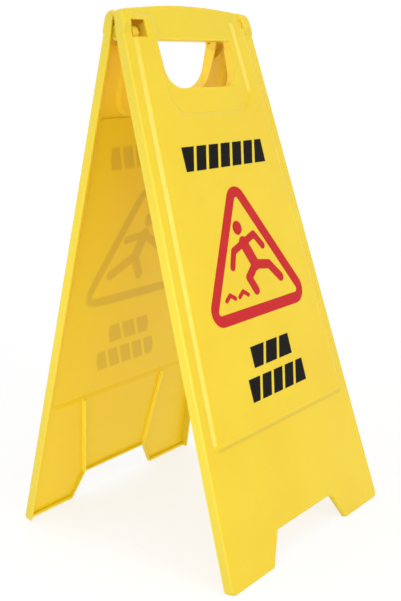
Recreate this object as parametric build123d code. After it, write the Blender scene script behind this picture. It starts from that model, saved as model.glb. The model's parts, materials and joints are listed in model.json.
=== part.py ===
from build123d import *
import math
import os

# Two-sided folding floor sign: two identical moulded panels hinged below the handle.
# World frame: X across the sign, the front panel faces -Y, +Z up.
# The origin is on the floor, midway between the feet. The sign is open on its stop.
# Panel frame: x across, s up along the panel from the feet, z outward from the hinge axis.

# ---- panel outline ----
SLANT = 628.0            # panel length along its slope
HALF_BOTTOM = 152.5      # half width at the feet
HALF_TOP = 111.5         # half width at the top
TOP_SAG = 8.0            # how far the top arc drops at its ends
TOP_CORNER_R = 11.0      # upper corner on the panel's own right
WINDOW_CORNER_R = 4.0    # upper corner on the window side
FOOT_CORNER_R = 6.0
NOTCH_HALF_BOTTOM = 76.0
NOTCH_HALF_TOP = 56.0
NOTCH_HEIGHT = 36.0
NOTCH_TOP_R = 4.0
NOTCH_BOTTOM_R = 6.0

# ---- wall section, measured along z ----
WALL = 2.2
RELIEF = 2.5             # how far the field stands above the border
RIM_TO_AXIS = 2.5        # the rim edge stops this far short of the hinge axis
RIM_DEPTH = 12.0         # border face to rim edge
BORDER_Z = RIM_TO_AXIS + RIM_DEPTH
FACE_Z = BORDER_Z + RELIEF
EDGE_R = 2.2             # rounding of the outer edges
FOOT_SOLE = 5.0          # wall at the feet, cut flat to the floor
BEAD_H = 3.5             # along the feet and the notch the rim is only this deep inside the wall
RIM_CUT_LOW_S = 578.0    # from here up the side rims are cut back, so that they meet only at the top
RIM_CUT_TOP_S = 622.0

# ---- raised field and dish round the handle ----
BORDER_W = 13.5
BEVEL_RUN = 5.0          # width of the slope from the border up to the field
BEVEL_SOFT_R = 5.0       # rounding along the top of that slope
FIELD_BOTTOM_S = 145.5
FIELD_TOP_INSET = 3.0
FIELD_CORNER_R = 10.0
ARM_CORNER_R = 7.0       # upper corners of the field's two arms
DISH_LEFT_INSET = 53.0   # the dish floor's sides, in from the sides of the panel
DISH_RIGHT_INSET = 40.8
DISH_BOTTOM_S = 507.0
DISH_CORNER_R = 26.0

# ---- handle hole ----
HOLE_HALF_TOP = 67.0
HOLE_HALF_BOTTOM = 60.0
HOLE_TOP_S = 589.0
HOLE_BOTTOM_S = 535.0
HOLE_TOP_R = 6.0
HOLE_BOTTOM_R = 24.0
GRIP_SLANT = 20.0        # the grip's underside rises inward by this angle
HOLE_FLANK = 3.0         # the opening's edge on the panel's own right is cut back at 45 degrees

# ---- rounded hinge shoulders ----
SHOULDER_RISE = 3.0
SHOULDER_Z = BORDER_Z + SHOULDER_RISE
SHOULDER_X = 98.5
SHOULDER_LOW_S = 596.0   # the shoulder grows out of the border from here
SHOULDER_FULL_S = 605.0  # and stands at its full height from here
SHOULDER_BEND_S = 603.0  # above this its inner side leans towards the middle
SHOULDER_TOP_X = 90.0
SHOULDER_R = 4.0

# ---- hinge ----
AXIS_S = 600.0
SPREAD = 14.5            # lean of each panel from upright, in degrees
STOP_GAP = 0.15          # each panel's clearance to the meeting plane of the stop
LUG_R = 8.0
PIN_R = 4.5
PRESS = 0.02             # pin larger than the lug bore, on radius
RUN = 0.06               # tongue bore larger than the pin, on radius
OUTER_LUG = (-109.0, -103.0)
INNER_LUG = (-76.5, -71.5)
TONGUE = (82.5, 91.5)
PIN_HEAD_R = 6.2
PIN_HEAD_L = 2.0
PIN_CHAMFER = 0.8
PLATE_S = (AXIS_S - LUG_R, AXIS_S + LUG_R)
WINDOW_X = (-101.5, -79.5)
WINDOW_S = (590.5, 609.5)
DIMPLE_X = (85.5, 96.5)
DIMPLE_S = (603.5, 613.5)
DIMPLE_DEPTH = 2.4
DIMPLE_Z = FACE_Z - DIMPLE_DEPTH
DIMPLE_R = 3.0

# ---- inner ribs ----
RIB_T = 2.0
RIB_H = 4.0
LEG_RIB_FOOT = (NOTCH_HALF_TOP + 1.0, NOTCH_HEIGHT)
LEG_RIB_TOP = (74.0, FIELD_BOTTOM_S + 1.0)
CROSS_RIB_S = 503.5      # a low rib across the inside, under the dish
CROSS_RIB_HALF = 100.0
CROSS_RIB_H = 1.6
GUSSET_H = 6.0
GUSSET_FOOT = (68.0, 566.0)
GUSSET_TOP = (95.0, 585.0)

# ---- printed film ----
INK_T = 0.25
PRINT_X = 3.5            # the print lies this far to the panel's own right
SLASH = 9.0              # sideways lean of each block of the printed bars
BLOCK_GAP = 5.0
UPPER_BAR = (443.0, 470.0, 73.0, 7)      # low s, high s, half width, number of blocks
MIDDLE_BAR = (216.0, 240.0, 37.0, 3)
LOWER_BAR = (180.0, 206.0, 53.0, 5)
TRI_LOW_S = 270.0
TRI_TOP_S = 436.0
TRI_HALF = 102.0
TRI_OUTER_R = 18.0
TRI_INNER_R = 4.0
TRI_BAND = 13.0
HEAD_AT = (-10.0, 373.0)
HEAD_R = 8.0
HIP = (8.0, 328.0)
NECK = (-5.0, 355.0)
TORSO_W = 15.0
ARM_W = 8.5
LEG_W = 11.0
RAISED_ARM = [NECK, (-26.0, 348.0), (-34.0, 331.0)]
REACHING_ARM = [NECK, (17.0, 362.0), (29.0, 347.0)]
KICKING_LEG = [HIP, (33.0, 324.0), (50.0, 306.0)]
STANDING_LEG = [HIP, (-9.0, 315.0), (-1.0, 299.0)]
RIPPLES_X = (-50.0, -26.0)
RIPPLE_S = (297.0, 302.0)
RIPPLE_HALF = 8.0
RIPPLE_W = 5.0

LEAN = math.radians(SPREAD)
BEVEL_ANGLE = math.degrees(math.atan2(BEVEL_RUN, RELIEF))
AXIS_H = AXIS_S * math.cos(LEAN) - BORDER_Z * math.sin(LEAN)


def at(x, s):
    """A point of the panel sketch, measured from the hinge axis."""
    return (x, s - AXIS_S)


def half_width(s):
    """Half width of the panel at the height s."""
    return HALF_BOTTOM + (HALF_TOP - HALF_BOTTOM) * s / SLANT


def top_arc_s(x, inset=0.0):
    """Height of the arched top edge at x, brought in by the inset."""
    return SLANT - TOP_SAG * (x / HALF_TOP) ** 2 - inset


def box_between(x_pair, s_pair, z_pair):
    """A block in the panel frame from three pairs of limits."""
    size = [x_pair[1] - x_pair[0], s_pair[1] - s_pair[0], z_pair[1] - z_pair[0]]
    centre = (
        (x_pair[0] + x_pair[1]) / 2,
        (s_pair[0] + s_pair[1]) / 2 - AXIS_S,
        (z_pair[0] + z_pair[1]) / 2,
    )
    return Pos(*centre) * Box(*size)


def grown(pair):
    """A pair of limits, widened by the wall at both ends."""
    return (pair[0] - WALL, pair[1] + WALL)


def corners_near(sketch, x, s, reach=1.0):
    """Sketch corners at plus and minus x and the height s."""
    target = Vector(x, s - AXIS_S, 0)
    near = [v for v in sketch.vertices() if (Vector(abs(v.X), v.Y, 0) - target).length < reach]
    return ShapeList(near)


def outline_sketch():
    """Tapered panel with an arched top, two feet and the notch between them."""
    corner_s = top_arc_s(HALF_TOP)
    half_corner = half_width(corner_s)
    sides = Polyline(
        at(-half_corner, corner_s),
        at(-HALF_BOTTOM, 0),
        at(HALF_BOTTOM, 0),
        at(half_corner, corner_s),
    )
    arc = ThreePointArc(at(half_corner, corner_s), at(0, SLANT), at(-half_corner, corner_s))
    sketch = make_face(sides + arc)
    notch = Polyline(
        at(-NOTCH_HALF_BOTTOM, 0),
        at(-NOTCH_HALF_TOP, NOTCH_HEIGHT),
        at(NOTCH_HALF_TOP, NOTCH_HEIGHT),
        at(NOTCH_HALF_BOTTOM, 0),
        close=True,
    )
    sketch = sketch - make_face(notch)
    sketch = fillet(corners_near(sketch, half_corner, corner_s).sort_by(Axis.X)[-1], TOP_CORNER_R)
    sketch = fillet(corners_near(sketch, half_corner, corner_s), WINDOW_CORNER_R)
    sketch = fillet(corners_near(sketch, HALF_BOTTOM, 0), FOOT_CORNER_R)
    sketch = fillet(corners_near(sketch, NOTCH_HALF_BOTTOM, 0), NOTCH_BOTTOM_R)
    sketch = fillet(corners_near(sketch, NOTCH_HALF_TOP, NOTCH_HEIGHT), NOTCH_TOP_R)
    return sketch


def hole_sketch():
    """Handle opening: wide at the top, with large lower corners."""
    edge = Polyline(
        at(-HOLE_HALF_TOP, HOLE_TOP_S),
        at(-HOLE_HALF_BOTTOM, HOLE_BOTTOM_S),
        at(HOLE_HALF_BOTTOM, HOLE_BOTTOM_S),
        at(HOLE_HALF_TOP, HOLE_TOP_S),
        close=True,
    )
    sketch = make_face(edge)
    sketch = fillet(corners_near(sketch, HOLE_HALF_TOP, HOLE_TOP_S), HOLE_TOP_R)
    sketch = fillet(corners_near(sketch, HOLE_HALF_BOTTOM, HOLE_BOTTOM_S), HOLE_BOTTOM_R)
    return sketch


def field_sketch():
    """Raised field: a broad plate with two arms that rise on each side of the dish."""
    top_s = top_arc_s(HALF_TOP) - FIELD_TOP_INSET
    low = half_width(FIELD_BOTTOM_S) - BORDER_W
    high = half_width(top_s) - BORDER_W
    dish_left_low = half_width(DISH_BOTTOM_S) - DISH_LEFT_INSET
    dish_left_top = half_width(top_s) - DISH_LEFT_INSET
    dish_right_low = half_width(DISH_BOTTOM_S) - DISH_RIGHT_INSET
    dish_right_top = half_width(top_s) - DISH_RIGHT_INSET
    edge = Polyline(
        at(-low, FIELD_BOTTOM_S),
        at(low, FIELD_BOTTOM_S),
        at(high, top_s),
        at(dish_right_top, top_s),
        at(dish_right_low, DISH_BOTTOM_S),
        at(-dish_left_low, DISH_BOTTOM_S),
        at(-dish_left_top, top_s),
        at(-high, top_s),
        close=True,
    )
    sketch = make_face(edge)
    sketch = fillet(corners_near(sketch, low, FIELD_BOTTOM_S), FIELD_CORNER_R)
    sketch = fillet(corners_near(sketch, high, top_s), ARM_CORNER_R)
    sketch = fillet(corners_near(sketch, dish_right_top, top_s), ARM_CORNER_R)
    sketch = fillet(corners_near(sketch, dish_left_top, top_s), ARM_CORNER_R)
    sketch = fillet(corners_near(sketch, dish_right_low, DISH_BOTTOM_S), DISH_CORNER_R)
    sketch = fillet(corners_near(sketch, dish_left_low, DISH_BOTTOM_S), DISH_CORNER_R)
    return sketch


def shoulder_slope(margin):
    """What lies above the slope that leads from the border up to the shoulders, less the margin."""
    slope = SHOULDER_RISE / (SHOULDER_FULL_S - SHOULDER_LOW_S)
    low_s = SHOULDER_LOW_S - SHOULDER_RISE
    high_s = SHOULDER_FULL_S + SHOULDER_RISE
    low_z = BORDER_Z - slope * SHOULDER_RISE - margin
    high_z = SHOULDER_Z + slope * SHOULDER_RISE - margin
    return side_profile([(low_s, low_z), (high_s, high_z), (low_s, high_z)], HALF_BOTTOM)


def shoulder_sketch(outline, side, margin=0.0):
    """One upper corner of the outline, over the hinge, brought in by the margin."""
    inner_x = SHOULDER_X + margin
    low_s = SHOULDER_LOW_S + margin
    corner = Polyline(
        at(side * inner_x, low_s),
        at(side * inner_x, SHOULDER_BEND_S),
        at(side * (SHOULDER_TOP_X + margin), SLANT),
        at(side * HALF_BOTTOM, SLANT),
        at(side * HALF_BOTTOM, low_s),
        close=True,
    )
    return outline & make_face(corner)


def sheared(sketch, height):
    """The sketch raised by the height and moved as far to the right as it rises."""
    return extrude(sketch, height * math.sqrt(2), dir=(1, 0, 1))


def side_profile(points, half):
    """A solid of even section: points of (s, z), drawn out across the panel."""
    section = Plane.YZ * make_face(Polyline(*[at_side(s, z) for s, z in points], close=True))
    return extrude(section, half, both=True)


def at_side(s, z):
    """A point of a section across the panel's thickness."""
    return (s - AXIS_S, z)


def grip_underside(margin):
    """What the slanting underside of the grip takes away, widened by the margin."""
    top_z = BORDER_Z - margin
    rise = math.tan(math.radians(GRIP_SLANT)) * (BORDER_Z - RIM_TO_AXIS)
    low_s = HOLE_TOP_S - HOLE_TOP_R
    corner_s = HOLE_TOP_S + margin
    section = [(low_s, 0.0), (low_s, top_z), (corner_s, top_z), (corner_s + rise, 0.0)]
    return side_profile(section, HOLE_HALF_TOP + margin)


def open_legs():
    """The hollow over the feet and the notch, where the side rims stand but the bottom rim is low."""
    high_s = NOTCH_HEIGHT + 2 * WALL
    legs = Polyline(
        at(-half_width(0) + WALL, 0),
        at(half_width(0) - WALL, 0),
        at(half_width(high_s) - WALL, high_s),
        at(-half_width(high_s) + WALL, high_s),
        close=True,
    )
    return extrude(make_face(legs), BORDER_Z - WALL - BEAD_H)


def cavity(outline, hole, field):
    """The hollow behind the wall, open at the rim."""
    inside = offset(outline, -WALL, kind=Kind.INTERSECTION)
    sole = Pos(0, FOOT_SOLE / 2 - AXIS_S) * Rectangle(2 * HALF_BOTTOM, FOOT_SOLE)
    hollow = extrude(inside - sole, RIM_DEPTH - WALL)
    hollow = Pos(0, 0, RIM_TO_AXIS) * hollow + open_legs()
    hollow = hollow + Pos(0, 0, BORDER_Z - WALL) * extrude(field, RELIEF, taper=BEVEL_ANGLE)
    for side in (-1, 1):
        corner = extrude(shoulder_sketch(inside, side, WALL), SHOULDER_Z - WALL - RIM_TO_AXIS)
        hollow = hollow + (Pos(0, 0, RIM_TO_AXIS) * corner - shoulder_slope(WALL))
    hollow = hollow - extrude(offset(hole, WALL), SHOULDER_Z) - grip_underside(WALL)
    for plate_x in (OUTER_LUG, INNER_LUG, TONGUE):
        hollow = hollow - box_between(plate_x, PLATE_S, (LUG_R, SHOULDER_Z))
    hollow = hollow - box_between(grown(DIMPLE_X), grown(DIMPLE_S), (DIMPLE_Z - WALL, SHOULDER_Z))
    for rib in ribs():
        hollow = hollow - rib
    return hollow


def shell():
    """The open tray of one panel, without its hinge parts."""
    outline = outline_sketch()
    hole = hole_sketch()
    field = field_sketch()
    body = Pos(0, 0, RIM_TO_AXIS) * extrude(outline, RIM_DEPTH)
    front_edges = body.faces().sort_by(Axis.Z)[-1].edges()
    body = fillet(front_edges, EDGE_R)
    pad = Pos(0, 0, BORDER_Z) * extrude(field, RELIEF, taper=BEVEL_ANGLE)
    pad = fillet(pad.faces().sort_by(Axis.Z)[-1].edges(), BEVEL_SOFT_R)
    body = body + pad
    for side in (-1, 1):
        low_z = BORDER_Z - 2 * EDGE_R
        corner = Pos(0, 0, low_z) * extrude(shoulder_sketch(outline, side), SHOULDER_Z - low_z)
        corner = fillet(corner.faces().sort_by(Axis.Z)[-1].edges(), SHOULDER_R)
        body = body + (corner - shoulder_slope(0.0))
    body = body - extrude(hole, SHOULDER_Z) - grip_underside(0.0)
    body = body - Pos(0, 0, BORDER_Z - HOLE_FLANK) * sheared(hole, 2 * HOLE_FLANK)
    return body - cavity(outline, hole, field)


def slanted_rib(x0, s0, x1, s1, height, side, root_z):
    """A straight inner rib between two points, standing up from the wall behind it."""
    length = math.hypot(x1 - x0, s1 - s0)
    angle = math.degrees(math.atan2(s1 - s0, side * (x1 - x0)))
    deep = height + WALL + RELIEF
    middle = Pos(side * (x0 + x1) / 2, (s0 + s1) / 2 - AXIS_S, root_z - height + deep / 2)
    return middle * Rot(0, 0, angle) * Box(length, RIB_T, deep)


def ribs():
    """Leg ribs above the notch corners, gussets beside the handle collar and the cross rib."""
    pieces = []
    root = BORDER_Z - WALL
    for side in (-1, 1):
        leg = slanted_rib(*LEG_RIB_FOOT, *LEG_RIB_TOP, RIB_H, side, root)
        gusset = slanted_rib(*GUSSET_FOOT, *GUSSET_TOP, GUSSET_H, side, root)
        pieces.extend([leg, gusset])
    across = (-CROSS_RIB_HALF, CROSS_RIB_S, CROSS_RIB_HALF, CROSS_RIB_S)
    pieces.append(slanted_rib(*across, CROSS_RIB_H, 1, FACE_Z - WALL))
    return pieces


def hinge_plate(x_pair, bore_r):
    """A flat lug with a round end about the hinge axis and a bore through it."""
    width = x_pair[1] - x_pair[0]
    middle = (x_pair[0] + x_pair[1]) / 2
    root_z = BORDER_Z - WALL
    lug = Pos(middle, 0, root_z / 2) * Box(width, 2 * LUG_R, root_z)
    lug = lug + Pos(middle, 0, 0) * Rot(0, 90, 0) * Cylinder(LUG_R, width)
    return lug - Pos(middle, 0, 0) * Rot(0, 90, 0) * Cylinder(bore_r, 2 * width)


def rim_cut():
    """Taken off the side rims near the hinge, so that the open panels meet only at the top."""
    meeting_z = (RIM_CUT_TOP_S - AXIS_S) * math.tan(LEAN)
    slope = (meeting_z - RIM_TO_AXIS) / (RIM_CUT_TOP_S - RIM_CUT_LOW_S)
    high_s = SLANT + 1.0
    high_z = RIM_TO_AXIS + slope * (high_s - RIM_CUT_LOW_S)
    section = [(RIM_CUT_LOW_S, RIM_TO_AXIS), (high_s, high_z), (high_s, 0.0), (RIM_CUT_LOW_S, 0.0)]
    return side_profile(section, HALF_BOTTOM)


def to_front(shape):
    """Stand a panel-frame shape up as part of the front panel."""
    return Pos(0, 0, AXIS_H) * Rot(90 - SPREAD, 0, 0) * shape


def to_back(shape):
    """The same shape turned half round the upright axis."""
    return Rot(0, 0, 180) * to_front(shape)


def panel():
    """One moulded panel in the front position."""
    body = shell() - rim_cut()
    body = body - box_between(WINDOW_X, WINDOW_S, (0.0, SHOULDER_Z + 1.0))
    dimple = box_between(DIMPLE_X, DIMPLE_S, (DIMPLE_Z, SHOULDER_Z + 1.0))
    body = body - fillet(dimple.edges().filter_by(Axis.Z), DIMPLE_R)
    body = to_front(body)
    meeting = Pos(0, SLANT / 2 - STOP_GAP, AXIS_H) * Box(SLANT, SLANT, SLANT)
    floor = Pos(0, 0, -SLANT / 2) * Box(SLANT, SLANT, SLANT)
    body = body - meeting - floor
    body = body + to_front(hinge_plate(OUTER_LUG, PIN_R - PRESS))
    body = body + to_front(hinge_plate(INNER_LUG, PIN_R - PRESS))
    body = body + to_front(hinge_plate(TONGUE, PIN_R + RUN))
    return body


def hinge_pin():
    """A headed pin that fills both lugs, in the panel frame on the window side."""
    length = INNER_LUG[1] - OUTER_LUG[0]
    shank = Rot(0, 90, 0) * Cylinder(PIN_R, length)
    shank = chamfer(shank.edges().sort_by(Axis.X)[0], PIN_CHAMFER)
    shank = Pos(INNER_LUG[1] - length / 2, 0, 0) * shank
    head = Rot(0, 90, 0) * Cylinder(PIN_HEAD_R, PIN_HEAD_L)
    head = fillet(head.edges().sort_by(Axis.X)[-1], PIN_CHAMFER)
    head = Pos(INNER_LUG[1] + PIN_HEAD_L / 2, 0, 0) * head
    return shank + head


def film(sketch):
    """A printed film lying on the raised field."""
    return Pos(PRINT_X, 0, FACE_Z) * extrude(sketch, INK_T)


def slanted_bar(low_s, high_s, half, count):
    """A band of leaning blocks, with square ends."""
    pitch = (2 * half + BLOCK_GAP) / count
    band = None
    for i in range(count):
        x = -half + i * pitch
        right = x + pitch - BLOCK_GAP
        lean_left = SLASH if i > 0 else 0.0
        lean_right = SLASH if i < count - 1 else 0.0
        block = Polyline(
            at(x - lean_left / 2, low_s),
            at(right - lean_right / 2, low_s),
            at(right + lean_right / 2, high_s),
            at(x + lean_left / 2, high_s),
            close=True,
        )
        face = make_face(block)
        band = face if band is None else band + face
    return film(band)


def triangle_sketch():
    """Rounded triangular warning border."""
    edge = Polyline(
        at(-TRI_HALF, TRI_LOW_S),
        at(TRI_HALF, TRI_LOW_S),
        at(0, TRI_TOP_S),
        close=True,
    )
    face = make_face(edge)
    outer = fillet(face.vertices(), TRI_OUTER_R)
    inner = offset(face, -TRI_BAND, kind=Kind.INTERSECTION)
    inner = fillet(inner.vertices(), TRI_INNER_R)
    return outer - inner


def stroke(points, width):
    """A round-ended line of even width through the points."""
    shape = None
    for (x0, s0), (x1, s1) in zip(points, points[1:]):
        length = math.hypot(x1 - x0, s1 - s0)
        angle = math.degrees(math.atan2(s1 - s0, x1 - x0))
        bar = SlotCenterToCenter(length, width)
        bar = Pos((x0 + x1) / 2, (s0 + s1) / 2 - AXIS_S) * Rot(0, 0, angle) * bar
        shape = bar if shape is None else shape + bar
    return shape


def figure_sketch():
    """A plain person losing balance backwards, above a wet patch."""
    figure = Pos(*at(*HEAD_AT)) * Circle(HEAD_R)
    figure = figure + stroke([NECK, HIP], TORSO_W)
    figure = figure + stroke(RAISED_ARM, ARM_W) + stroke(REACHING_ARM, ARM_W)
    return figure + stroke(KICKING_LEG, LEG_W) + stroke(STANDING_LEG, LEG_W)


def ripple_sketch():
    """Two short waves under the figure."""
    shape = None
    low_s, high_s = RIPPLE_S
    for x in RIPPLES_X:
        points = [(x - RIPPLE_HALF, low_s), (x, high_s), (x + RIPPLE_HALF, low_s)]
        wave = stroke(points, RIPPLE_W)
        shape = wave if shape is None else shape + wave
    return shape


def build():
    """Every node, by name, in its rest position."""
    one_panel = panel()
    pin = hinge_pin()
    bars = slanted_bar(*MIDDLE_BAR) + slanted_bar(*LOWER_BAR)
    prints = {
        "upper_bar_print": slanted_bar(*UPPER_BAR),
        "lower_bar_print": bars,
        "warning_triangle_print": film(triangle_sketch()),
        "slip_figure_print": film(figure_sketch()),
        "ripple_print": film(ripple_sketch()),
    }
    nodes = {
        "front_panel": one_panel,
        "back_panel": Rot(0, 0, 180) * one_panel,
        "left_hinge_pin": to_front(pin),
        "right_hinge_pin": to_back(pin),
    }
    for name, shape in prints.items():
        nodes["front_" + name] = to_front(shape)
        nodes["back_" + name] = to_back(shape)
    return nodes


os.makedirs("parts", exist_ok=True)
for node_name, node_shape in build().items():
    export_step(node_shape, "parts/" + node_name + ".step")
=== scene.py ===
import json
import math

import bpy
from mathutils import Matrix, Vector

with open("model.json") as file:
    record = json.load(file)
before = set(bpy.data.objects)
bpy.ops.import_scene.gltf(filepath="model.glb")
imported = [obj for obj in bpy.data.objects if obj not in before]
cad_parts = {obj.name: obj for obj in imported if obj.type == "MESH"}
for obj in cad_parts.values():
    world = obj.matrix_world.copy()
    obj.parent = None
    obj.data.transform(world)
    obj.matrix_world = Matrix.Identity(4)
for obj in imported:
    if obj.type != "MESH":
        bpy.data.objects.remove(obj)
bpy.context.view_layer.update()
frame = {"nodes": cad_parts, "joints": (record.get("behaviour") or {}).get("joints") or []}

NODES = frame["nodes"]
JOINT = frame["joints"][0]

# ---- driving sizes, in metres, the same as the CAD's ----
LEAN = math.radians(14.5)
AXIS_S = 0.600                  # hinge axis, measured up the panel from its feet
AXIS_HEIGHT = JOINT["pos_m"][2]
FACE_OUT = 0.0170               # raised field's face, out from the hinge axis
WALL = 0.0022
PRINT_ACROSS = 0.0035           # the print lies this far to each panel's own right
SLASH = 0.009                   # sideways lean of each block of the printed bars
BLOCK_GAP = 0.005
UPPER_BAR = (0.443, 0.470, 0.073, 7)     # low and high edge, half width, number of blocks
MIDDLE_BAR = (0.216, 0.240, 0.037, 3)
LOWER_BAR = (0.180, 0.206, 0.053, 5)
TRI_LOW = 0.270
TRI_TOP = 0.436
TRI_HALF = 0.102
TRI_BAND = 0.013
HEAD = (-0.010, 0.373)
HEAD_SPAN = 0.0001              # a stroke this short is a round spot
NECK = (-0.005, 0.355)
HIP = (0.008, 0.328)
FIGURE = [                      # strokes of the figure: start, end and width
    (HEAD, (HEAD[0], HEAD[1] + HEAD_SPAN), 0.016),
    (NECK, HIP, 0.015),
    (NECK, (-0.034, 0.335), 0.009),
    (NECK, (0.027, 0.352), 0.009),
    (HIP, (0.048, 0.310), 0.012),
    (HIP, (-0.004, 0.302), 0.012),
]
LEG_RIB = ((0.057, 0.036), (0.074, 0.1445))
LEG_RIB_HIGHLIGHT_WIDTH = 0.004            # width of the painted highlight over each leg rib
HALF_INNER = 0.150              # half width of the inside at the feet, less the rims
TAPER = 0.065                   # how much the half width shrinks per length of panel
HINGE_END = (0.49, 0.54)        # the heights over which the panel's hinge end begins

# ---- colours, linear ----
PLASTIC = (0.715, 0.525, 0.003, 1.0)
PLASTIC_PALE = (0.735, 0.550, 0.006, 1.0)
PLASTIC_DEEP = (0.690, 0.480, 0.003, 1.0)
# painted light: faces turned to the other panel are brighter and warmer, standing in for light bouncing
# between the panels
PLASTIC_INSIDE_PAINTED_LIGHT = (0.815, 0.590, 0.002, 1.0)
# painted light: the side faces get a paler, less red copy of the yellow, for the light falling across
# them
PLASTIC_SIDE_PAINTED_LIGHT = (0.680, 0.545, 0.035, 1.0)
# painted highlight: a paler colour over the inner leg ribs
PLASTIC_RIB_HIGHLIGHT = (0.900, 0.720, 0.050, 1.0)
# painted light: the hidden faces at the hinge end are a brighter orange, for light shining into the
# hinge
PLASTIC_HINGE_PAINTED_LIGHT = (0.960, 0.670, 0.045, 1.0)
# painted shade: faces turned towards the feet are darker
PLASTIC_DOWN_PAINTED_SHADE = (0.560, 0.425, 0.004, 1.0)
# painted shadow: the outside print seen as a darker shade through the thin wall
PRINT_PAINTED_SHADOW = (0.560, 0.300, 0.004, 1.0)
PIN_YELLOW = (0.80, 0.50, 0.05, 1.0)
RED = (0.490, 0.018, 0.020, 1.0)
RED_THIN = (0.540, 0.032, 0.028, 1.0)
BLACK = (0.003, 0.002, 0.002, 1.0)
BLACK_WORN = (0.009, 0.007, 0.004, 1.0)
FLOOR = (0.94, 0.94, 0.94, 1.0)
FLOOR_WARM = (0.96, 0.96, 0.955, 1.0)
FLOOR_FADE = (0.3, 1.6)         # distances at which the floor starts and ends its fade


class Shader:
    """A material and short helpers that add nodes to it."""

    def __init__(self, name):
        self.material = bpy.data.materials.new(name)
        self.material.use_nodes = True
        self.tree = self.material.node_tree
        self.tree.nodes.clear()
        self.bsdf = self.node("ShaderNodeBsdfPrincipled")
        out = self.node("ShaderNodeOutputMaterial")
        self.tree.links.new(self.bsdf.outputs["BSDF"], out.inputs["Surface"])
        place = self.node("ShaderNodeTexCoord")
        self.coords = place.outputs["Object"]
        self.normal = place.outputs["Normal"]

    def node(self, kind, **settings):
        new = self.tree.nodes.new(kind)
        for key, value in settings.items():
            setattr(new, key, value)
        return new

    def put(self, value, socket):
        """Sets a number or colour on a socket, or links another socket to it."""
        if isinstance(value, bpy.types.NodeSocket):
            self.tree.links.new(value, socket)
        else:
            socket.default_value = value

    def math(self, operation, a, b=0.0, clamp=False):
        new = self.node("ShaderNodeMath", operation=operation, use_clamp=clamp)
        self.put(a, new.inputs[0])
        self.put(b, new.inputs[1])
        return new.outputs[0]

    def smooth_min(self, a, b, softness):
        new = self.node("ShaderNodeMath", operation="SMOOTH_MIN")
        self.put(a, new.inputs[0])
        self.put(b, new.inputs[1])
        new.inputs[2].default_value = softness
        return new.outputs[0]

    def noise(self, scale, detail=3.0, roughness=0.5, coords=None):
        new = self.node("ShaderNodeTexNoise")
        self.put(coords or self.coords, new.inputs["Vector"])
        new.inputs["Scale"].default_value = scale
        new.inputs["Detail"].default_value = detail
        new.inputs["Roughness"].default_value = roughness
        return new.outputs["Fac"]

    def ramp(self, value, low, high, start=0.0, end=1.0, smooth=True):
        new = self.node("ShaderNodeMapRange", clamp=True)
        new.interpolation_type = "SMOOTHSTEP" if smooth else "LINEAR"
        self.put(value, new.inputs["Value"])
        new.inputs["From Min"].default_value = low
        new.inputs["From Max"].default_value = high
        new.inputs["To Min"].default_value = start
        new.inputs["To Max"].default_value = end
        return new.outputs["Result"]

    def mix(self, factor, a, b):
        new = self.node("ShaderNodeMix", data_type="RGBA")
        self.put(factor, new.inputs["Factor"])
        self.put(a, new.inputs["A"])
        self.put(b, new.inputs["B"])
        return new.outputs["Result"]

    def bump(self, height, distance, strength=1.0, below=None):
        new = self.node("ShaderNodeBump")
        self.put(height, new.inputs["Height"])
        new.inputs["Distance"].default_value = distance
        new.inputs["Strength"].default_value = strength
        if below is not None:
            self.put(below, new.inputs["Normal"])
        return new.outputs["Normal"]

    def edges(self):
        """0 on flat stretches and in hollows, 1 on sharp outer edges."""
        geometry = self.node("ShaderNodeNewGeometry")
        return self.ramp(geometry.outputs["Pointiness"], 0.52, 0.60)


def panel_axes(shader, side):
    """Across, up-the-panel and outward distances of a point, as sockets."""
    split = shader.node("ShaderNodeSeparateXYZ")
    shader.put(shader.coords, split.inputs[0])
    across = split.outputs["X"]
    out_y = split.outputs["Y"]
    if side == "back":
        across = shader.math("MULTIPLY", across, -1.0)
        out_y = shader.math("MULTIPLY", out_y, -1.0)
    rise = shader.math("SUBTRACT", split.outputs["Z"], AXIS_HEIGHT)
    along = shader.math(
        "ADD",
        shader.math("MULTIPLY", out_y, math.sin(LEAN)),
        shader.math("MULTIPLY", rise, math.cos(LEAN)),
    )
    up = shader.math("ADD", along, AXIS_S)
    outward = shader.math(
        "SUBTRACT",
        shader.math("MULTIPLY", rise, math.sin(LEAN)),
        shader.math("MULTIPLY", out_y, math.cos(LEAN)),
    )
    return across, up, outward


def facings(shader, side):
    """Masks of the faces turned to the other panel, to the sides, to the feet and outwards."""
    split = shader.node("ShaderNodeSeparateXYZ")
    shader.put(shader.normal, split.inputs[0])
    turn = 1.0 if side == "front" else -1.0
    depth = shader.math("MULTIPLY", split.outputs["Y"], turn * math.cos(LEAN))
    inward = shader.math("SUBTRACT", depth, shader.math("MULTIPLY", split.outputs["Z"], math.sin(LEAN)))
    along = shader.math("MULTIPLY", split.outputs["Y"], -turn * math.sin(LEAN))
    down = shader.math("SUBTRACT", along, shader.math("MULTIPLY", split.outputs["Z"], math.cos(LEAN)))
    sideways = shader.math("ABSOLUTE", split.outputs["X"])
    return (
        shader.ramp(inward, 0.3, 0.8),
        shader.ramp(sideways, 0.5, 0.9),
        shader.ramp(down, 0.15, 0.42),
        shader.ramp(inward, -0.8, -0.3, 1.0, 0.0),
    )


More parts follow.
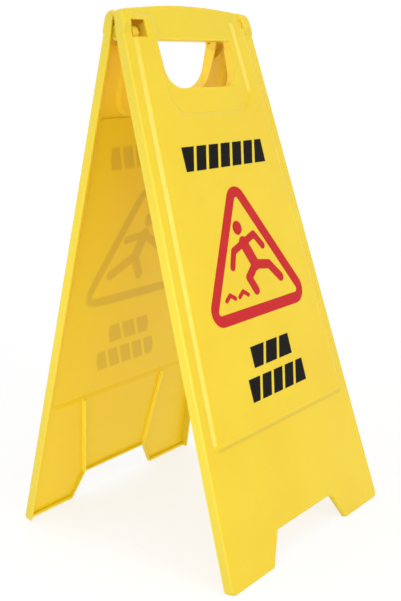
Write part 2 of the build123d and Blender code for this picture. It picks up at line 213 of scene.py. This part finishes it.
def bar_mask(shader, across, up, bar):
    """Soft-edged mask of one printed band, broken up by its slanting gaps."""
    low, high, half, count = bar
    soft = 0.002
    middle = (low + high) / 2
    vertical = shader.math("ABSOLUTE", shader.math("SUBTRACT", up, middle))
    inside_v = shader.ramp(vertical, (high - low) / 2 - soft, (high - low) / 2 + soft, 1.0, 0.0)
    inside_h = shader.ramp(shader.math("ABSOLUTE", across), half - soft, half + soft, 1.0, 0.0)
    pitch = (2 * half + BLOCK_GAP) / count
    slope = SLASH / (high - low)
    lean = shader.math("MULTIPLY", shader.math("SUBTRACT", up, middle), slope)
    sheared = shader.math("SUBTRACT", across, lean)
    turns = shader.math("DIVIDE", shader.math("ADD", sheared, half), pitch)
    phase = shader.math("FRACT", turns)
    centre = (pitch - BLOCK_GAP) / 2 / pitch
    off_centre = shader.math("ABSOLUTE", shader.math("SUBTRACT", phase, centre))
    block = shader.ramp(off_centre, centre - 0.04, centre + 0.06, 1.0, 0.0)
    return shader.math("MULTIPLY", shader.math("MULTIPLY", inside_v, inside_h), block)


def triangle_mask(shader, across, up):
    """Soft-edged mask of the triangular border."""
    side = math.hypot(TRI_HALF, TRI_TOP - TRI_LOW)
    steep = (TRI_TOP - TRI_LOW) / side
    flat = TRI_HALF / side
    above = shader.math("SUBTRACT", up, TRI_LOW)
    slanted = []
    for operation in ("SUBTRACT", "ADD"):
        from_corner = shader.math(operation, TRI_HALF, across)
        across_part = shader.math("MULTIPLY", from_corner, steep)
        slanted.append(shader.math("SUBTRACT", across_part, shader.math("MULTIPLY", above, flat)))
    rounded = []
    for softness in (0.055, 0.012):
        apex = shader.smooth_min(slanted[0], slanted[1], softness)
        rounded.append(shader.smooth_min(apex, above, softness))
    outer = shader.ramp(rounded[0], -0.001, 0.003)
    inner = shader.ramp(rounded[1], TRI_BAND - 0.002, TRI_BAND + 0.002, 1.0, 0.0)
    return shader.math("MULTIPLY", outer, inner)


def limb_mask(shader, across, up, start, end, width):
    """Soft-edged mask of one round-ended stroke, from a start point to an end point."""
    run_x = end[0] - start[0]
    run_s = end[1] - start[1]
    length2 = run_x * run_x + run_s * run_s
    dx = shader.math("SUBTRACT", across, start[0])
    ds = shader.math("SUBTRACT", up, start[1])
    dot = shader.math("ADD", shader.math("MULTIPLY", dx, run_x), shader.math("MULTIPLY", ds, run_s))
    share = shader.math("DIVIDE", dot, length2, clamp=True)
    ex = shader.math("SUBTRACT", dx, shader.math("MULTIPLY", share, run_x))
    es = shader.math("SUBTRACT", ds, shader.math("MULTIPLY", share, run_s))
    square = shader.math("ADD", shader.math("MULTIPLY", ex, ex), shader.math("MULTIPLY", es, es))
    distance = shader.math("SQRT", square)
    return shader.ramp(distance, width / 2 - 0.001, width / 2 + 0.002, 1.0, 0.0)


def print_shadow_mask(shader, place):
    """How much painted shadow of the outside print darkens the thin wall where it is seen from inside,
    for the print blocking light that comes through the wall.
    """
    middle, up, outward = place
    across = shader.math("SUBTRACT", middle, PRINT_ACROSS)
    mask = triangle_mask(shader, across, up)
    for bar in (UPPER_BAR, MIDDLE_BAR, LOWER_BAR):
        mask = shader.math("MAXIMUM", mask, bar_mask(shader, across, up, bar))
    for start, end, width in FIGURE:
        mask = shader.math("MAXIMUM", mask, limb_mask(shader, across, up, start, end, width))
    skin = FACE_OUT - WALL
    inner_side = shader.ramp(outward, skin + 0.0004, skin + 0.0012, 1.0, 0.0)
    not_ribs = shader.ramp(outward, skin - 0.003, skin - 0.001)
    return shader.math("MULTIPLY", mask, shader.math("MULTIPLY", inner_side, not_ribs))


def rib_highlight_mask(shader, place):
    """Mask of the painted highlight over the two inner leg ribs, which run up from the notch's corners.
    """
    across = shader.math("ABSOLUTE", place[0])
    return limb_mask(shader, across, place[1], LEG_RIB[0], LEG_RIB[1], LEG_RIB_HIGHLIGHT_WIDTH)


def hinge_light_mask(shader, place):
    """Mask of the hinge end of the panel, away from its side rims, where the painted light goes."""
    half_width = shader.math("SUBTRACT", HALF_INNER, shader.math("MULTIPLY", place[1], TAPER))
    from_rim = shader.math("SUBTRACT", half_width, shader.math("ABSOLUTE", place[0]))
    between_rims = shader.ramp(from_rim, 0.002, 0.004)
    return shader.math("MULTIPLY", between_rims, shader.ramp(place[1], HINGE_END[0], HINGE_END[1]))


def moulded_plastic(side):
    """Yellow polypropylene: satin, faintly mottled, with painted light and shade: brighter inner faces,
    retinted side faces, darker faces turned to the feet, a brighter hinge end, a painted highlight over
    the leg ribs and the print's painted shadow through the wall.
    """
    s = Shader(side + "_moulded_yellow")
    cloudy = s.ramp(s.noise(9.0, 4.0), 0.35, 0.65)
    fine = s.noise(900.0, 2.0)
    colour = s.mix(cloudy, PLASTIC, PLASTIC_PALE)
    deep = s.ramp(s.noise(38.0, 5.0, 0.6), 0.56, 0.75, 0.0, 0.25)
    colour = s.mix(deep, colour, PLASTIC_DEEP)
    place = panel_axes(s, side)
    inside, sideways, down, outer = facings(s, side)
    # painted light: a brighter, warmer colour on the faces turned to the other panel
    colour = s.mix(inside, colour, PLASTIC_INSIDE_PAINTED_LIGHT)
    # painted light: the side faces retinted
    colour = s.mix(sideways, colour, PLASTIC_SIDE_PAINTED_LIGHT)
    # painted shade: darker on the faces turned towards the feet
    colour = s.mix(s.math("MULTIPLY", down, 0.45), colour, PLASTIC_DOWN_PAINTED_SHADE)
    hidden = s.math("SUBTRACT", 1.0, outer)
    # painted light: a brighter orange on the hidden faces of the hinge end
    colour = s.mix(s.math("MULTIPLY", hinge_light_mask(s, place), hidden), colour, PLASTIC_HINGE_PAINTED_LIGHT)
    # painted highlight: a paler stripe over each inner leg rib
    rib = s.math("MULTIPLY", rib_highlight_mask(s, place), hidden)
    colour = s.mix(rib, colour, PLASTIC_RIB_HIGHLIGHT)
    # painted shadow of the outside print through the thin wall, added to what the subsurface scattering
    # gives
    print_shadow = s.math("MULTIPLY", print_shadow_mask(s, place), 0.42)
    colour = s.mix(print_shadow, colour, PRINT_PAINTED_SHADOW)
    wear = s.math("MULTIPLY", s.edges(), s.ramp(s.noise(120.0, 4.0, 0.65), 0.45, 0.7))
    colour = s.mix(s.math("MULTIPLY", wear, 0.35), colour, PLASTIC_PALE)
    s.put(colour, s.bsdf.inputs["Base Color"])
    rough = s.ramp(s.noise(60.0, 4.0, 0.6), 0.3, 0.7, 0.15, 0.22, smooth=False)
    rough = s.math("ADD", rough, s.math("MULTIPLY", wear, 0.15))
    rough = s.math("ADD", rough, s.math("MULTIPLY", s.math("MAXIMUM", inside, down), 0.25))
    s.put(rough, s.bsdf.inputs["Roughness"])
    flow = s.bump(s.noise(14.0, 2.0), 0.0006, 0.22)
    grain = s.bump(fine, 0.00004, 0.6, below=flow)
    s.put(grain, s.bsdf.inputs["Normal"])
    s.bsdf.inputs["IOR"].default_value = 1.49
    s.bsdf.inputs["Specular IOR Level"].default_value = 0.5
    s.bsdf.inputs["Subsurface Weight"].default_value = 0.35
    s.bsdf.inputs["Subsurface Radius"].default_value = (1.0, 0.55, 0.06)
    s.bsdf.inputs["Subsurface Scale"].default_value = 0.006
    return s.material


def pin_plastic():
    """Smooth nylon pin, slightly scored round its length by the tongue."""
    s = Shader("hinge_pin_nylon")
    stretch = s.node("ShaderNodeMapping")
    s.put(s.coords, stretch.inputs["Vector"])
    stretch.inputs["Scale"].default_value = (6.0, 1.0, 1.0)
    rings = s.noise(180.0, 3.0, 0.5, coords=stretch.outputs[0])
    colour = s.mix(s.ramp(rings, 0.35, 0.65), PIN_YELLOW, PLASTIC_DEEP)
    s.put(colour, s.bsdf.inputs["Base Color"])
    s.put(s.ramp(rings, 0.3, 0.7, 0.25, 0.4), s.bsdf.inputs["Roughness"])
    s.put(s.bump(rings, 0.00008, 0.7), s.bsdf.inputs["Normal"])
    s.bsdf.inputs["IOR"].default_value = 1.53
    return s.material


def ink(name, solid, thin, sheen):
    """Screen-printed ink: dense colour, a faint mesh texture and tiny thin spots."""
    s = Shader(name)
    spots = s.ramp(s.noise(420.0, 3.0, 0.6), 0.62, 0.74)
    wash = s.ramp(s.noise(30.0, 3.0), 0.4, 0.7, 0.0, 0.35)
    amount = s.math("MAXIMUM", s.math("MULTIPLY", spots, 0.5), wash)
    s.put(s.mix(amount, solid, thin), s.bsdf.inputs["Base Color"])
    s.put(s.ramp(s.noise(90.0, 4.0), 0.3, 0.7, sheen - 0.06, sheen + 0.08), s.bsdf.inputs["Roughness"])
    mesh_grain = s.bump(s.noise(1400.0, 1.0), 0.00002, 0.6)
    s.put(mesh_grain, s.bsdf.inputs["Normal"])
    s.bsdf.inputs["IOR"].default_value = 1.5
    s.bsdf.inputs["Specular IOR Level"].default_value = 0.08
    return s.material


def studio_floor():
    """Plain pale floor that fades out into the white surroundings away from the sign."""
    s = Shader("pale_floor")
    s.put(s.mix(s.noise(3.0, 2.0), FLOOR, FLOOR_WARM), s.bsdf.inputs["Base Color"])
    s.bsdf.inputs["Roughness"].default_value = 0.8
    s.bsdf.inputs["Specular IOR Level"].default_value = 0.1
    away = s.node("ShaderNodeVectorMath", operation="LENGTH")
    s.put(s.coords, away.inputs[0])
    s.put(s.ramp(away.outputs["Value"], FLOOR_FADE[0], FLOOR_FADE[1], 0.3, 0.0), s.bsdf.inputs["Alpha"])
    return s.material


def dress(node_name, material):
    """Gives a CAD node its material."""
    data = NODES[node_name].data
    data.materials.clear()
    data.materials.append(material)


def dress_all():
    black = ink("black_print", BLACK, BLACK_WORN, 0.42)
    red = ink("red_print", RED, RED_THIN, 0.40)
    pin = pin_plastic()
    for side in ("front", "back"):
        dress(side + "_panel", moulded_plastic(side))
        dress(side + "_upper_bar_print", black)
        dress(side + "_lower_bar_print", black)
        dress(side + "_warning_triangle_print", red)
        dress(side + "_slip_figure_print", red)
        dress(side + "_ripple_print", red)
    for node in ("left_hinge_pin", "right_hinge_pin"):
        dress(node, pin)


def smooth_curved_faces():
    """Smooth shading across the rounded edges, crisp at real corners."""
    for node in NODES.values():
        bpy.context.view_layer.objects.active = node
        node.select_set(True)
        bpy.ops.object.shade_smooth_by_angle(angle=math.radians(28))
        node.select_set(False)


def add_floor():
    data = bpy.data.meshes.new("studio_floor")
    reach = FLOOR_FADE[1] + 0.3
    corners = [(-reach, -reach, 0), (reach, -reach, 0), (reach, reach, 0), (-reach, reach, 0)]
    data.from_pydata(corners, [], [(0, 1, 2, 3)])
    floor = bpy.data.objects.new("studio_floor", data)
    bpy.context.scene.collection.objects.link(floor)
    data.materials.append(studio_floor())


def add_light(name, place, target, size, power):
    data = bpy.data.lights.new(name, "AREA")
    data.shape = "RECTANGLE"
    data.size = size[0]
    data.size_y = size[1]
    data.energy = power
    lamp = bpy.data.objects.new(name, data)
    lamp.location = place
    lamp.rotation_euler = (Vector(target) - Vector(place)).to_track_quat("-Z", "Y").to_euler()
    lamp.visible_camera = False
    bpy.context.scene.collection.objects.link(lamp)


def light_studio():
    world = bpy.data.worlds.new("studio")
    bpy.context.scene.world = world
    world.use_nodes = True
    sky = world.node_tree.nodes["Background"]
    sky.inputs["Color"].default_value = (1.0, 1.0, 1.0, 1.0)
    sky.inputs["Strength"].default_value = 1.0
    middle = (0, 0, 0.3)
    add_light("strip_front", (-0.36, -2.5, 1.0), middle, (0.42, 1.8), 10.4)
    add_light("strip_high", (0.16, -2.5, 1.5), (0, 0, 0.5), (0.26, 0.8), 3.0)
    add_light("fill_left", (-2.1, -1.3, 0.55), middle, (1.2, 1.2), 5.0)
    add_light("card_low", (-0.48, -0.10, 0.28), (-0.1, 0.10, 0.30), (0.3, 0.3), 0.6)


# ---- camera, metres and degrees ----
CAMERA_PLACE = Vector((-0.8523, -0.7104, 0.5158))
CAMERA_YAW = 50.6
CAMERA_PITCH = 12.6
CAMERA_ROLL = -2.3
FOCAL_RATIO = 1.570             # focal length over the height of the frame
SENSOR = 36.0


def add_camera():
    data = bpy.data.cameras.new("camera")
    data.sensor_fit = "VERTICAL"
    data.sensor_height = SENSOR
    data.lens = FOCAL_RATIO * SENSOR
    data.clip_end = 100.0
    camera = bpy.data.objects.new("camera", data)
    bpy.context.scene.collection.objects.link(camera)
    turn = Matrix.Rotation(math.radians(-CAMERA_YAW), 4, "Z")
    tilt = Matrix.Rotation(math.radians(90 - CAMERA_PITCH), 4, "X")
    roll = Matrix.Rotation(math.radians(CAMERA_ROLL), 4, "Z")
    camera.matrix_world = Matrix.Translation(CAMERA_PLACE) @ turn @ tilt @ roll
    bpy.context.scene.camera = camera


dress_all()
smooth_curved_faces()
add_floor()
light_studio()
add_camera()
bpy.context.scene.view_settings.view_transform = "Standard"
